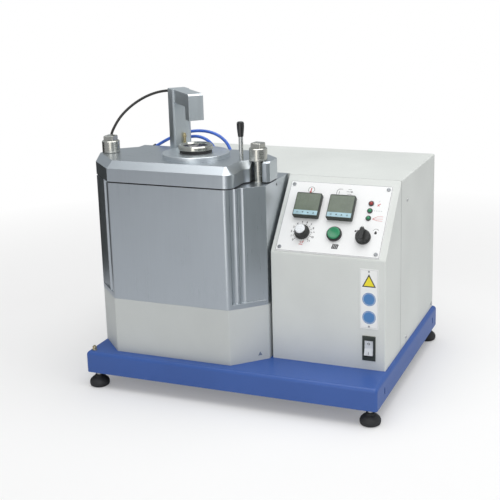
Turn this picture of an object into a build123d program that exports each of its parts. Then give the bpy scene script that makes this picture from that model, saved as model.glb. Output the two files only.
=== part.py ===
from build123d import *
import math
import os

# Bench-top vacuum-pressure casting unit, in millimetres, +Z up, front facing -Y.
# Every section below measures x from the left edge and y from the front edge of the
# base tray. place() moves a finished piece into the part's frame, whose origin is on
# the floor under the middle of the tray.

# ---------------------------------------------------------------- driving sizes
BASE_W = 570.0
BASE_D = 457.0
TRAY_Z0 = 30.6
TRAY_Z1 = 71.7
TRAY_SHEET = 3.0
TRAY_BEND = 7.0

FOOT_INSET = 16.5
FOOT_R = 18.7
FOOT_STUD_R = 5.0

BLOCK_X0 = 2.0
BLOCK_X1 = 344.0
BLOCK_Y0 = 21.0
BLOCK_Y1 = 190.0
BLOCK_CUT = 55.0
BLOCK_Z0 = 176.6
BLOCK_Z1 = 396.7
BODY_LIP_H = 9.0

AXIS_X = 194.0
AXIS_Y = 110.0
BORE_R = 64.0
BORE_FLOOR_Z = 196.0

LID_Z0 = 399.2
LID_Z1 = 436.0
LID_BEVEL = 13.0
LID_WALL_X = 301.2
LID_EAR_Y = 93.0
LID_HEEL_X = 44.0

STUD_Y = 106.0
STUD_LEFT_X = 19.0
STUD_RIGHT_X = 319.0
STUD_R = 8.0
STUD_TOP_Z = 455.0
SLOT_W = 20.6
THREAD_CLEAR = 0.05
PIVOT_CLEAR = 0.06
SLIDE_GAP = 0.3

NUT_R = 16.5
WASHER_T = 3.0
NUT_BARREL_H = 19.5
NUT_SQUARE = 20.0
NUT_SQUARE_H = 9.3

CONSOLE_X0 = 348.0
CONSOLE_X1 = 562.0
CONSOLE_Y0 = 81.7
CONSOLE_Y1 = 186.2
FOLD_Z = 275.2
COVER_Z1 = 395.6
SHEET = 2.0
BEND = 4.0

COVER_X0 = 2.0
COVER_Y0 = 193.0
COVER_Y1 = 455.0

PLATE_X0 = 8.0
PLATE_X1 = 202.0
PLATE_S0 = 3.0
PLATE_S1 = 146.0
PLATE_T = 2.0

CTRL_SIZE = 48.0
CTRL_PROUD = 12.0
CTRL_BORDER = 1.4
CTRL_FOOT = 2.8
CTRL_S = 94.0
CTRL_XS = (52.4, 116.0)
CTRL_DEPTH = 60.0
CTRL_CUTOUT = 45.0

ROW_S = 41.0
POT_X = 52.5
BUTTON_X = 112.5
BUTTON_S = 42.5
SELECTOR_X = 166.0
LED_X = 168.0
LED_S = (108.6, 94.0, 79.2)
LED_HOLE_R = 4.5
PANEL_HOLE_R = 11.2
BEZEL_R = 13.8
BEZEL_H = 5.5
BUTTON_TRAVEL = 2.5
BUTTON_CAP_R = 11.6
BUTTON_STEM_R = 7.0
POT_SHAFT_R = 3.0
SELECTOR_SHAFT_R = 5.0

ROCKER_X = 532.0
ROCKER_Z = 112.0
ROCKER_BODY_W = 20.0
ROCKER_BODY_H = 40.0
ROCKER_TILT = 8.0

INLET_X = 500.0
INLET_Z = 130.0

HANDLE_X = 290.0
HANDLE_Y = 97.0
HANDLE_ROD_R = 4.0

ARM_HEADING = -45.0
ARM_BACK = -102.5
ARM_FRONT = 11.0
ARM_COLUMN = 31.0
ARM_COLUMN_W = 34.0
ARM_HEAD = 21.0
ARM_HEAD_W = 28.0
ARM_HEAD_Z = 503.5
ARM_TOP_Z = 551.5
ARM_BAR_T = 24.0

CORD_D = 5.0
HOSE_D = 6.0
GLAND_R = 4.5
GLAND_Z = 543.0
ARM_GLAND_L = 6.0
CABLE_GLAND_X = 7.0
CABLE_GLAND_Y = 126.0
CABLE_GLAND_TOP = LID_Z1 + 10.0

COUNTER = {}


# ---------------------------------------------------------------- helpers
def place(shape):
    """Moves a piece from tray-corner coordinates to the part's frame."""
    return Pos(-BASE_W / 2, -BASE_D / 2, 0) * shape


def save(name, *solids):
    """Writes one node; several solids make one group of separate pieces."""
    moved = [place(s) for s in solids]
    shape = moved[0] if len(moved) == 1 else Compound(children=moved)
    export_step(shape, os.path.join("parts", name + ".step"))
    COUNTER[name] = len(moved)


def slab(x0, y0, z0, x1, y1, z1):
    """An axis-aligned block between two corners."""
    return Pos(x0, y0, z0) * Box(x1 - x0, y1 - y0, z1 - z0, align=(Align.MIN,) * 3)


def rod(x, y, z0, z1, r):
    """An upright cylinder."""
    return Pos(x, y, z0) * Cylinder(r, z1 - z0, align=(Align.CENTER, Align.CENTER, Align.MIN))


def prism(points, z0, z1):
    """An upright prism on a closed outline of (x, y) points."""
    face = make_face(Polyline(*[(x, y) for x, y in points], close=True))
    return Pos(0, 0, z0) * extrude(face, z1 - z0)


def turned(profile):
    """A solid of revolution about Z from (radius, height) points."""
    face = make_face(Polyline(*[(r, 0, z) for r, z in profile], close=True))
    return revolve(face, Axis.Z)


def hexagon(x, y, z0, z1, flats):
    """An upright hexagonal bar, given its width across flats."""
    return Pos(x, y, z0) * extrude(RegularPolygon(flats / 2, 6, major_radius=False), z1 - z0)


def upright_edges(shape, x, y, tolerance=0.5):
    """The vertical edges of a shape that stand at (x, y)."""
    found = shape.edges().filter_by(Axis.Z)
    return [e for e in found if math.hypot(e.center().X - x, e.center().Y - y) < tolerance]


# ---------------------------------------------------------------- base and feet
def make_base():
    tray = slab(0, 0, TRAY_Z0, BASE_W, BASE_D, TRAY_Z1)
    tray = fillet(tray.edges().filter_by(Axis.Z), 5.0)
    tray = fillet(tray.faces().sort_by(Axis.Z)[-1].edges(), TRAY_BEND)
    t = TRAY_SHEET
    tray -= slab(t, t, TRAY_Z0, BASE_W - t, BASE_D - t, TRAY_Z1 - t)
    slot_w = 5.0
    slot_z0 = 43.7
    slot_z1 = 56.2
    for y in (50.0, 421.5):
        tray -= slab(-1, y - slot_w / 2, slot_z0, BASE_W + 1, y + slot_w / 2, slot_z1)
    bush_r = 9.0
    bush_z0 = 46.0
    for x, y in foot_places():
        tray += rod(x, y, bush_z0, TRAY_Z1 - t, bush_r)
        tray -= rod(x, y, bush_z0, TRAY_Z1 - t - 4, FOOT_STUD_R)
    save("base_tray", tray)


def foot_places():
    near = FOOT_INSET
    return [
        (near, near),
        (BASE_W - near, near),
        (near, BASE_D - near),
        (BASE_W - near, BASE_D - near),
    ]


def make_feet():
    names = ("front_left", "front_right", "rear_left", "rear_right")
    r = FOOT_R
    socket_z = 10.0
    neck_z = 22.0
    profile = [
        (0, 0), (r - 4, 0), (r - 1, 2), (r, 5), (r, 9), (r - 1.5, 12.5),
        (r - 5.5, 16.5), (9.5, 19.0), (7.5, neck_z), (0, neck_z),
    ]
    pad = turned(profile) - rod(0, 0, socket_z, neck_z, FOOT_STUD_R)
    studs = []
    for name, (x, y) in zip(names, foot_places()):
        save("foot_pad_" + name, Pos(x, y, 0) * pad)
        studs.append(rod(x, y, socket_z, 64.0, FOOT_STUD_R))
    save("foot_studs", *studs)


def make_earth_bolt():
    x = 12.0
    y = 13.0
    washer_z1 = TRAY_Z1 + 1.2
    head_z1 = washer_z1 + 5.0
    washer = rod(x, y, TRAY_Z1, washer_z1, 4.8)
    head = hexagon(x, y, washer_z1, head_z1, 8.0)
    save("earth_bolt", washer + head + rod(x, y, head_z1, head_z1 + 2.2, 2.5))


# ---------------------------------------------------------------- pedestal and chamber
def block_outline(inset=0.0):
    """Plan outline of the pot: 45-degree front corners and a square back."""
    x0 = BLOCK_X0 + inset
    x1 = BLOCK_X1 - inset
    y0 = BLOCK_Y0 + inset
    y1 = BLOCK_Y1 - inset
    c = BLOCK_CUT - inset * (2 - math.sqrt(2))
    return [(x0 + c, y0), (x1 - c, y0), (x1, y0 + c), (x1, y1), (x0, y1), (x0, y0 + c)]


def make_pedestal():
    skirt = prism(block_outline(), TRAY_Z1, BLOCK_Z0)
    for x, y in block_outline():
        skirt = fillet(upright_edges(skirt, x, y), BEND)
    inner = prism(block_outline(SHEET), TRAY_Z1, BLOCK_Z0 - SHEET)
    save("pedestal_skirt", skirt - inner)


def corner_flutes(mirror):
    """Cutters for the two upright flutes and the sunk flat on one front corner."""
    s = -1 if mirror else 1
    corner_x = (BLOCK_X0 + BLOCK_CUT) if mirror else (BLOCK_X1 - BLOCK_CUT)
    run = math.sqrt(0.5)
    z0 = BLOCK_Z0 + BODY_LIP_H
    flute_r = 8.0
    proud = 3.2
    cutters = []
    for t in (15.0, 30.0):
        x = corner_x + s * (t + proud) * run
        y = BLOCK_Y0 + (t - proud) * run
        cutters.append(rod(x, y, z0, BLOCK_Z1 + 1, flute_r))
    flat_start = 36.0
    flat_end = BLOCK_CUT / run - 1.5
    sunk = 3.6
    outside = 6.0
    wedge = []
    for t, depth in ((flat_start, -outside), (flat_end, -outside), (flat_end, 0), (flat_start, sunk)):
        wedge.append((corner_x + s * (t - depth) * run, BLOCK_Y0 + (t + depth) * run))
    cutters.append(prism(wedge, z0, BLOCK_Z1 + 1))
    return cutters


def make_chamber():
    body = prism(block_outline(), BLOCK_Z0, BLOCK_Z1)
    for x in (BLOCK_X0 + BLOCK_CUT, BLOCK_X1 - BLOCK_CUT):
        body = fillet(upright_edges(body, x, BLOCK_Y0), 9.0)
    for mirror in (False, True):
        for cutter in corner_flutes(mirror):
            body -= cutter
    body -= rod(AXIS_X, AXIS_Y, BORE_FLOOR_Z, BLOCK_Z1 + 1, BORE_R)
    vent_y = 130.0
    vent_z = 388.0
    vent = Pos(BLOCK_X1, vent_y, vent_z) * Rot(0, 90, 0) * Cylinder(2.5, 12.0)
    body -= vent
    stud_hole_depth = 40.0
    for x in (STUD_LEFT_X, STUD_RIGHT_X):
        body -= rod(x, STUD_Y, BLOCK_Z1 - stud_hole_depth, BLOCK_Z1 + 1, STUD_R)
    save("chamber_body", body)


def make_furnace():
    muffle_wall = 15.0
    muffle_top = 382.0
    muffle = rod(AXIS_X, AXIS_Y, BORE_FLOOR_Z, muffle_top, BORE_R - 0.5)
    muffle -= rod(AXIS_X, AXIS_Y, BORE_FLOOR_Z + 24.0, muffle_top, BORE_R - muffle_wall)
    save("furnace_muffle", muffle)
    r = 44.0
    wall = 5.5
    z0 = BORE_FLOOR_Z + 24.0
    z1 = 372.0
    outline = [
        (0, z0), (r - 8, z0), (r - 4, z0 + 3), (r, z1), (r - wall, z1),
        (r - 4 - wall, z0 + 14), (r - 16, z0 + 9), (0, z0 + 9),
    ]
    save("crucible", Pos(AXIS_X, AXIS_Y, 0) * turned(outline))


# ---------------------------------------------------------------- lid
def lid_corners(inset=0.0):
    """Plan outline of the lid before its two big wall radii are cut."""
    n = inset
    c = BLOCK_CUT - n * (2 - math.sqrt(2))
    left = BLOCK_X0 + n
    right = BLOCK_X1 - n
    front = BLOCK_Y0 + n
    back = BLOCK_Y1 - n
    return [
        (left + c, front),
        (LID_WALL_X - n, front),
        (LID_WALL_X - n, LID_EAR_Y + n),
        (right - 5.0, LID_EAR_Y + n),
        (right, LID_EAR_Y + 5.0 + n),
        (right, 134.0 - n / 2),
        (right - (back - 134.0), back),
        (LID_HEEL_X + n, back),
        (LID_HEEL_X + n, 168.0 - n / 2),
        (left + 34.0, 162.0 - n / 2),
        (left, 132.0 - n / 2),
        (left, front + c),
    ]


def lid_block(z0, z1, inset=0.0):
    """The lid's outline as a prism, with its convex nose and concave wall radii."""
    block = prism(lid_corners(inset), z0, z1)
    nose_r = 16.0 - inset
    cove_r = 20.0 + inset
    block = fillet(upright_edges(block, LID_WALL_X - inset, BLOCK_Y0 + inset), nose_r)
    block = fillet(upright_edges(block, LID_WALL_X - inset, LID_EAR_Y + inset), cove_r)
    block = fillet(upright_edges(block, LID_HEEL_X + inset, 168.0 - inset / 2), 8.0)
    return block


def bevel_edges(block):
    """Top edges of the lid that face the front, from the left corner into the slot."""
    top = block.faces().sort_by(Axis.Z)[-1]
    wanted = []
    for e in top.edges():
        c = e.center()
        on_front = c.Y < BLOCK_Y0 + BLOCK_CUT / 2 + 1.0 and c.X < LID_WALL_X
        on_wall = LID_WALL_X - 12.0 < c.X < STUD_RIGHT_X - 1 and c.Y < LID_EAR_Y + 1
        if on_front or on_wall:
            wanted.append(e)
    return wanted


def stud_slot(z0, z1, width):
    """Open slot that lets the right stud out of the ear as the lid swings back."""
    hole = rod(STUD_RIGHT_X, STUD_Y, z0, z1, width / 2)
    return hole + slab(STUD_RIGHT_X - width / 2, 60.0, z0, STUD_RIGHT_X + width / 2, STUD_Y, z1)


def make_lid():
    block = lid_block(LID_Z0, LID_Z1)
    main_part = block - slab(STUD_RIGHT_X, 0, LID_Z0 - 1, BLOCK_X1 + 1, BLOCK_Y1 + 1, LID_Z1 + 1)
    ear_part = block - slab(-1, 0, LID_Z0 - 1, STUD_RIGHT_X, BLOCK_Y1 + 1, LID_Z1 + 1)
    lid = chamfer(bevel_edges(main_part), LID_BEVEL) + ear_part
    lid -= stud_slot(LID_Z0 - 1, LID_Z1 + 1, SLOT_W)
    ear_x = STUD_RIGHT_X + SLOT_W / 2
    lid = fillet(upright_edges(lid, ear_x, LID_EAR_Y), 4.0)
    ear_rim = [
        e for e in lid.faces().sort_by(Axis.Z)[-1].edges()
        if e.center().X > ear_x and e.center().Y < LID_EAR_Y + 4.0
    ]
    lid = chamfer(ear_rim, 3.0)
    lid -= rod(STUD_LEFT_X, STUD_Y, LID_Z0 - 1, LID_Z1 + 1, STUD_R + PIVOT_CLEAR)
    lid -= rod(AXIS_X, AXIS_Y, LID_Z0 - 1, LID_Z1 + 1, 46.0)
    lid -= rod(HANDLE_X, HANDLE_Y, LID_Z1 - 10.0, LID_Z1 + 1, HANDLE_ROD_R)
    save("lid", lid)
    gasket_z1 = LID_Z0 - SLIDE_GAP
    gasket = lid_block(BLOCK_Z1, gasket_z1, 2.0)
    gasket -= rod(AXIS_X, AXIS_Y, BLOCK_Z1, gasket_z1, BORE_R)
    gasket -= stud_slot(BLOCK_Z1, gasket_z1, SLOT_W + 4.0)
    gasket -= rod(STUD_LEFT_X, STUD_Y, BLOCK_Z1, gasket_z1, SLOT_W / 2 + 2.0)
    for cutter in corner_flutes(True):
        gasket -= cutter
    save("lid_gasket", gasket)


def make_clamps():
    collar_r = 11.0
    collar_h = 2.0
    studs = []
    for x in (STUD_LEFT_X, STUD_RIGHT_X):
        stud = rod(x, STUD_Y, BLOCK_Z1 - 40.0, STUD_TOP_Z, STUD_R)
        stud = chamfer(stud.faces().sort_by(Axis.Z)[-1].edges(), 1.2)
        studs.append(stud + rod(x, STUD_Y, BLOCK_Z1, BLOCK_Z1 + collar_h, collar_r))
    save("clamp_studs", *studs)
    z0 = LID_Z1 + SLIDE_GAP
    z1 = z0 + WASHER_T
    z2 = z1 + NUT_BARREL_H
    z3 = z2 + NUT_SQUARE_H
    for side, x, twist in (("left", STUD_LEFT_X, 0.0), ("right", STUD_RIGHT_X, -8.0)):
        washer = rod(x, STUD_Y, z0, z1, NUT_R) - rod(x, STUD_Y, z0, z1, STUD_R + 0.5)
        save("clamp_washer_" + side, chamfer(washer.faces().sort_by(Axis.Z)[0].outer_wire().edges(), 0.6))
        barrel = rod(x, STUD_Y, z1, z2, NUT_R)
        barrel = chamfer(barrel.faces().sort_by(Axis.Z)[-1].edges(), 1.4)
        square = Pos(x, STUD_Y, z2) * Rot(0, 0, twist) * extrude(Rectangle(NUT_SQUARE, NUT_SQUARE), NUT_SQUARE_H)
        square = fillet(square.edges().filter_by(Axis.Z), 1.5)
        square = chamfer(square.faces().sort_by(Axis.Z)[-1].edges(), 1.5)
        thread = rod(x, STUD_Y, z1, STUD_TOP_Z + 3.0, STUD_R + THREAD_CLEAR)
        save("clamp_nut_" + side, barrel + square - thread)


def make_window():
    disc_r = 62.0
    disc_z1 = LID_Z1 + 8.4
    light_r = 24.0
    disc = rod(AXIS_X, AXIS_Y, LID_Z1, disc_z1, disc_r)
    disc = chamfer(disc.faces().sort_by(Axis.Z)[-1].edges(), 0.8)
    save("flange_disc", disc - rod(AXIS_X, AXIS_Y, LID_Z1, disc_z1, light_r))
    gasket_z1 = disc_z1 + 5.0
    gasket_r = 29.5
    save("window_gasket", rod(AXIS_X, AXIS_Y, disc_z1, gasket_z1, gasket_r) - rod(
        AXIS_X, AXIS_Y, disc_z1, gasket_z1, light_r))
    z = gasket_z1
    ring_profile = [
        (light_r, z), (30.5, z), (32.0, z + 1.5), (32.0, z + 6.6), (30.2, z + 9.0),
        (27.2, z + 9.0), (23.6, z + 6.0), (23.6, z + 4.2), (26.2, z + 4.2), (26.2, z + 0.9),
        (light_r, z + 0.9),
    ]
    save("window_ring", Pos(AXIS_X, AXIS_Y, 0) * turned(ring_profile))
    save("window_glass", rod(AXIS_X, AXIS_Y, z + 0.9, z + 4.2, 26.2))
    save_nipple()


def save_nipple():
    """Small brass bleed nipple with its cap, between the sensor column and the window."""
    base_z1 = LID_Z1 + 7.0
    stem_z1 = LID_Z1 + 24.0
    tip_z1 = LID_Z1 + 34.0
    nipple = hexagon(0, 0, LID_Z1, base_z1, 6.0)
    nipple += turned([
        (0, base_z1), (2.6, base_z1), (2.6, stem_z1), (3.6, stem_z1 + 1.0),
        (3.6, stem_z1 + 5.0), (1.4, tip_z1), (0, tip_z1),
    ])
    save("bleed_nipple", Pos(AXIS_X - 46.0, AXIS_Y + 48.8, 0) * nipple)


# ---------------------------------------------------------------- sensor arm
def on_arm(shape):
    """Places a piece drawn along +X from the window axis onto the arm's heading."""
    return Pos(AXIS_X, AXIS_Y, 0) * Rot(0, 0, ARM_HEADING) * shape


def make_arm():
    """C-shaped arm: a broad column, with a narrower bar and sensor head in front of it."""
    x_column = ARM_BACK + ARM_COLUMN
    x_head = ARM_FRONT - ARM_HEAD
    bar_z = ARM_TOP_Z - ARM_BAR_T
    side = [
        (x_column - 1, bar_z), (x_head, bar_z), (x_head, ARM_HEAD_Z),
        (ARM_FRONT, ARM_HEAD_Z), (ARM_FRONT, ARM_TOP_Z), (x_column - 1, ARM_TOP_Z),
    ]
    face = make_face(Polyline(*[(x, 0, z) for x, z in side], close=True))
    bar = extrude(face, ARM_HEAD_W / 2, both=True)
    across = bar.edges().filter_by(Axis.Y)
    throat = [e for e in across if math.hypot(e.center().X - x_head, e.center().Z - bar_z) < 0.5]
    bar = fillet(throat, 18.0)
    brow = [e for e in across if e.center().X > ARM_FRONT - 1 and e.center().Z > ARM_TOP_Z - 1]
    bar = chamfer(brow, 3.0)
    half_w = ARM_COLUMN_W / 2
    column = slab(ARM_BACK, -half_w, LID_Z1, x_column, half_w, ARM_TOP_Z)
    column = chamfer(column.edges().filter_by(Axis.Z), 2.5)
    arm = column + bar
    sensor_r = 7.0
    sensor_z1 = ARM_HEAD_Z + 36.0
    arm -= rod(0, 0, ARM_HEAD_Z - 1, sensor_z1, sensor_r)
    save("sensor_arm", on_arm(arm))
    lens_r = 4.5
    sensor = rod(0, 0, ARM_HEAD_Z + 0.5, sensor_z1, sensor_r)
    sensor -= rod(0, 0, ARM_HEAD_Z + 0.5, ARM_HEAD_Z + 3.0, lens_r)
    save("temperature_sensor", on_arm(sensor))


# ---------------------------------------------------------------- cable and hoses
def arm_point(x, z):
    """A point on the arm's centre plane, x along its heading from the window axis."""
    heading = math.radians(ARM_HEADING)
    return (AXIS_X + x * math.cos(heading), AXIS_Y + x * math.sin(heading), z)


CABLE_POINTS = [
    arm_point(ARM_BACK - ARM_GLAND_L, GLAND_Z),
    arm_point(ARM_BACK - ARM_GLAND_L - 17.0, GLAND_Z),
    (89.5, 203.5, 542.0),
    (72.5, 201.5, 539.0),
    (56.5, 193.5, 533.5),
    (42.0, 181.5, 525.0),
    (29.0, 165.5, 513.0),
    (18.0, 149.0, 497.5),
    (10.5, 134.5, 478.0),
    (CABLE_GLAND_X, CABLE_GLAND_Y, 462.0),
    (CABLE_GLAND_X, CABLE_GLAND_Y, CABLE_GLAND_TOP),
]

OUTER_HOSE_POINTS = [
    (64.5, 200.0, 433.0),
    (82.0, 200.3, 443.5),
    (101.0, 200.8, 452.8),
    (120.0, 201.4, 460.0),
    (140.0, 202.0, 465.0),
    (160.0, 202.0, 467.2),
    (180.0, 201.6, 465.8),
    (198.0, 201.0, 460.3),
    (211.5, 200.5, 451.0),
    (220.0, 200.2, 440.0),
    (224.5, 200.0, 427.5),
]

INNER_HOSE_POINTS = [
    (107.0, 200.0, 427.5),
    (115.5, 199.0, 439.0),
    (127.0, 197.5, 449.0),
    (141.0, 196.5, 455.6),
    (156.0, 196.0, 457.2),
    (170.5, 196.5, 454.0),
    (182.0, 197.5, 446.5),
    (190.0, 199.0, 436.0),
    (194.0, 200.0, 423.5),
]


def corner_radii(points):
    """Largest even bend at each inner point: 0.45 of the shorter run over tan(half turn)."""
    radii = []
    for a, b, c in zip(points, points[1:], points[2:]):
        first = Vector(*b) - Vector(*a)
        second = Vector(*c) - Vector(*b)
        turn = math.radians(first.get_angle(second))
        radii.append(0.45 * min(first.length, second.length) / math.tan(turn / 2))
    return radii


def tube(points, diameter):
    """A round tube along straight runs joined by tangent arcs."""
    radii = corner_radii(points)
    path = FilletPolyline(*points, radius=radii)
    start = Vector(*points[1]) - Vector(*points[0])
    section = Plane(origin=points[0], z_dir=start) * Circle(diameter / 2)
    solid = sweep(section, path=path)
    expected = path.length * math.pi * diameter ** 2 / 4
    print(
        "tube", round(path.length, 1), "mm, smallest bend", round(min(radii), 1),
        "radii", [round(r) for r in radii], "volume ratio", round(solid.volume / expected, 4),
    )
    return solid


def barrel(start, direction, length, radius):
    """A cylinder from a point along a direction."""
    return Plane(origin=start, z_dir=direction) * Cylinder(
        radius, length, align=(Align.CENTER, Align.CENTER, Align.MIN))


def end_direction(points, at_end):
    """Unit direction in which a route leaves its first or enters its last point."""
    a, b = (points[-2], points[-1]) if at_end else (points[1], points[0])
    return (Vector(*b) - Vector(*a)).normalized()


def hose_elbow(points, at_end):
    """Push-in elbow on the lid's back face that holds one end of a hose."""
    tip = Vector(*(points[-1] if at_end else points[0]))
    into = end_direction(points, at_end)
    sleeve_l = 12.0
    knee = tip + into * sleeve_l
    body = barrel(tip, into, sleeve_l, 5.2)
    body += Pos(*knee) * Sphere(5.2)
    body += barrel((knee.X, BLOCK_Y1, knee.Z), (0, 1, 0), knee.Y - BLOCK_Y1, 5.2)
    flange = Plane(origin=(knee.X, BLOCK_Y1, knee.Z), z_dir=(0, 1, 0)) * extrude(
        RegularPolygon(6.5, 6, major_radius=False), 4.0)
    return body + flange


def make_cords():
    save("sensor_cable", tube(CABLE_POINTS, CORD_D))
    save("air_hose_outer", tube(OUTER_HOSE_POINTS, HOSE_D))
    save("air_hose_inner", tube(INNER_HOSE_POINTS, HOSE_D))
    elbows = []
    for points in (OUTER_HOSE_POINTS, INNER_HOSE_POINTS):
        elbows.append(hose_elbow(points, False))
        elbows.append(hose_elbow(points, True))
    save("hose_fittings", *elbows)
    outward = (-1, 1, 0)
    arm_gland = barrel(arm_point(ARM_BACK, GLAND_Z), outward, ARM_GLAND_L, GLAND_R)
    arm_gland += barrel(arm_point(ARM_BACK, GLAND_Z), outward, 3.0, 6.0)
    lid_gland = rod(CABLE_GLAND_X, CABLE_GLAND_Y, LID_Z1, CABLE_GLAND_TOP, GLAND_R)
    lid_gland += hexagon(CABLE_GLAND_X, CABLE_GLAND_Y, LID_Z1, LID_Z1 + 4.0, 10.0)
    save("cable_glands", arm_gland, lid_gland)


# ---------------------------------------------------------------- handle
def make_handle():
    grip_z0 = 479.0
    grip_z1 = 506.0
    post = rod(HANDLE_X, HANDLE_Y, LID_Z1 - 10.0, grip_z1 - 6.0, HANDLE_ROD_R)
    save("handle_rod", post)
    grip = Pos(HANDLE_X, HANDLE_Y, 0) * turned([
        (HANDLE_ROD_R, grip_z0), (4.9, grip_z0), (6.1, grip_z0 + 11), (6.6, grip_z0 + 17),
        (6.6, grip_z1 - 3.0), (5.6, grip_z1 - 0.8), (4.0, grip_z1), (0, grip_z1),
        (0, grip_z1 - 6.0), (HANDLE_ROD_R, grip_z1 - 6.0),
    ])
    save("handle_grip", grip)


# ---------------------------------------------------------------- console housing
def console_profile(inset=0.0):
    """Side view of the console as (y, z) points: front, slope, seam and floor."""
    rise = math.atan2(COVER_Z1 - FOLD_Z, CONSOLE_Y1 - CONSOLE_Y0)
    y0 = CONSOLE_Y0 + inset
    fold = FOLD_Z - inset * math.tan((math.pi / 2 - rise) / 2)
    top_y = CONSOLE_Y1
    top_z = fold + (top_y - y0) * math.tan(rise)
    return [(y0, TRAY_Z1), (y0, fold), (top_y, top_z), (top_y, TRAY_Z1)]


def side_prism(points, x0, x1):
    """A prism along X on a closed outline of (y, z) points."""
    face = make_face(Polyline(*[(x0, y, z) for y, z in points], close=True))
    return extrude(face, x1 - x0, dir=(1, 0, 0))


def slope_frame():
    """Plane on the sloping panel: x to the right, y up the slope, z out of the panel."""
    run = Vector(0, CONSOLE_Y1 - CONSOLE_Y0, COVER_Z1 - FOLD_Z).normalized()
    normal = Vector(1, 0, 0).cross(run)
    return Plane(origin=(CONSOLE_X0, CONSOLE_Y0, FOLD_Z), x_dir=(1, 0, 0), z_dir=normal)


def on_slope(x, s, shape, lift=0.0):
    """Places a piece drawn about the Z axis on the slope at (x, s), lifted off it."""
    return slope_frame() * Pos(x, s, lift) * shape


def panel_cutters(depth):
    """Openings for everything that passes through the sloping panel."""
    tools = []
    for x in CTRL_XS:
        tools.append(on_slope(x, CTRL_S, Box(CTRL_CUTOUT, CTRL_CUTOUT, depth)))
    rounds = (
        (POT_X, ROW_S, 5.0), (BUTTON_X, BUTTON_S, PANEL_HOLE_R), (SELECTOR_X, ROW_S, PANEL_HOLE_R),
    )
    for x, s, r in rounds:
        tools.append(on_slope(x, s, Cylinder(r, depth)))
    for s in LED_S:
        tools.append(on_slope(LED_X, s, Cylinder(LED_HOLE_R, depth)))
    return tools


def make_console():
    shell = side_prism(console_profile(), CONSOLE_X0, CONSOLE_X1)
    fold = [e for e in shell.edges().filter_by(Axis.X)
            if abs(e.center().Z - FOLD_Z) < 1 and e.center().Y < CONSOLE_Y0 + 1]
    shell = fillet(fold, 6.0)
    front = shell.faces().sort_by(Axis.Y)[0]
    upright = [e for e in front.edges() if abs(e.center().X - (CONSOLE_X0 + CONSOLE_X1) / 2) > 50]
    shell = fillet(upright, 2.0)
    inner = side_prism(console_profile(SHEET), CONSOLE_X0 + SHEET, CONSOLE_X1 - SHEET)
    shell -= inner
    panel_depth = 14.0
    for tool in panel_cutters(panel_depth):
        shell -= tool
    shell -= slab(
        ROCKER_X - ROCKER_BODY_W / 2, CONSOLE_Y0 - 1, ROCKER_Z - ROCKER_BODY_H / 2,
        ROCKER_X + ROCKER_BODY_W / 2, CONSOLE_Y0 + SHEET + 1, ROCKER_Z + ROCKER_BODY_H / 2)
    save("console_shell", shell)


def make_panel_plate():
    w = PLATE_X1 - PLATE_X0
    h = PLATE_S1 - PLATE_S0
    mid_x = (PLATE_X0 + PLATE_X1) / 2
    mid_s = (PLATE_S0 + PLATE_S1) / 2
    sheet = extrude(RectangleRounded(w, h, 2.0), PLATE_T)
    sheet = chamfer(sheet.faces().sort_by(Axis.Z)[-1].edges(), 0.8)
    plate = on_slope(mid_x, mid_s, sheet)
    for tool in panel_cutters(14.0):
        plate -= tool
    save("control_plate", plate)
    inset = 7.5
    screws = []
    head = rod(0, 0, 0, 1.4, 3.6)
    head = fillet(head.faces().sort_by(Axis.Z)[-1].edges(), 0.9) - slab(-3.8, -0.5, 0.7, 3.8, 0.5, 2)
    for x in (PLATE_X0 + inset, PLATE_X1 - inset):
        for s in (PLATE_S0 + inset, PLATE_S1 - inset):
            screws.append(on_slope(x, s, head, PLATE_T))
    save("plate_screws", *screws)


def make_controllers():
    """Two 48 mm square panel controllers: housing, display window and key strip."""
    half = CTRL_SIZE / 2
    face_w = CTRL_SIZE - 2 * CTRL_BORDER
    keypad_h = 9.0
    keypad_s0 = -half + CTRL_FOOT
    window_s0 = keypad_s0 + keypad_h
    window_s1 = half - 2.0
    recess_z = CTRL_PROUD - 0.8
    for side, x in zip(("left", "right"), CTRL_XS):
        bezel = Pos(0, 0, PLATE_T) * extrude(RectangleRounded(CTRL_SIZE, CTRL_SIZE, 2.5), CTRL_PROUD - PLATE_T)
        bezel = fillet(bezel.faces().sort_by(Axis.Z)[-1].edges(), 1.2)
        bezel -= slab(-face_w / 2, keypad_s0, recess_z, face_w / 2, window_s1, CTRL_PROUD + 1)
        case_half = CTRL_CUTOUT / 2 - 0.2
        case = slab(-case_half, -case_half, PLATE_T - CTRL_DEPTH, case_half, case_half, PLATE_T)
        save("controller_%s_housing" % side, on_slope(x, CTRL_S, bezel + case))
        window = slab(-face_w / 2, window_s0, recess_z, face_w / 2, window_s1, CTRL_PROUD - 0.2)
        save("controller_%s_window" % side, on_slope(x, CTRL_S, window))
        keypad = slab(-face_w / 2, keypad_s0, recess_z, face_w / 2, window_s0, CTRL_PROUD - 0.1)
        key_pitch = 10.2
        for i in range(4):
            key = slab(-3.2, -1.8, CTRL_PROUD - 0.1, 3.2, 1.8, CTRL_PROUD + 0.15)
            keypad += Pos((i - 1.5) * key_pitch, keypad_s0 + keypad_h / 2, 0) * key
        save("controller_%s_keypad" % side, on_slope(x, CTRL_S, keypad))


# ---------------------------------------------------------------- panel controls
def bezel_body(lift):
    """Round panel bezel with its threaded barrel and contact block behind the panel."""
    ring = rod(0, 0, lift, lift + BEZEL_H, BEZEL_R)
    ring = fillet(ring.faces().sort_by(Axis.Z)[-1].edges(), 1.2)
    neck = rod(0, 0, -16.0, lift, PANEL_HOLE_R - 0.2)
    block = slab(-14.0, -18.0, -46.0, 14.0, 18.0, -16.0)
    return ring + neck + block


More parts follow.
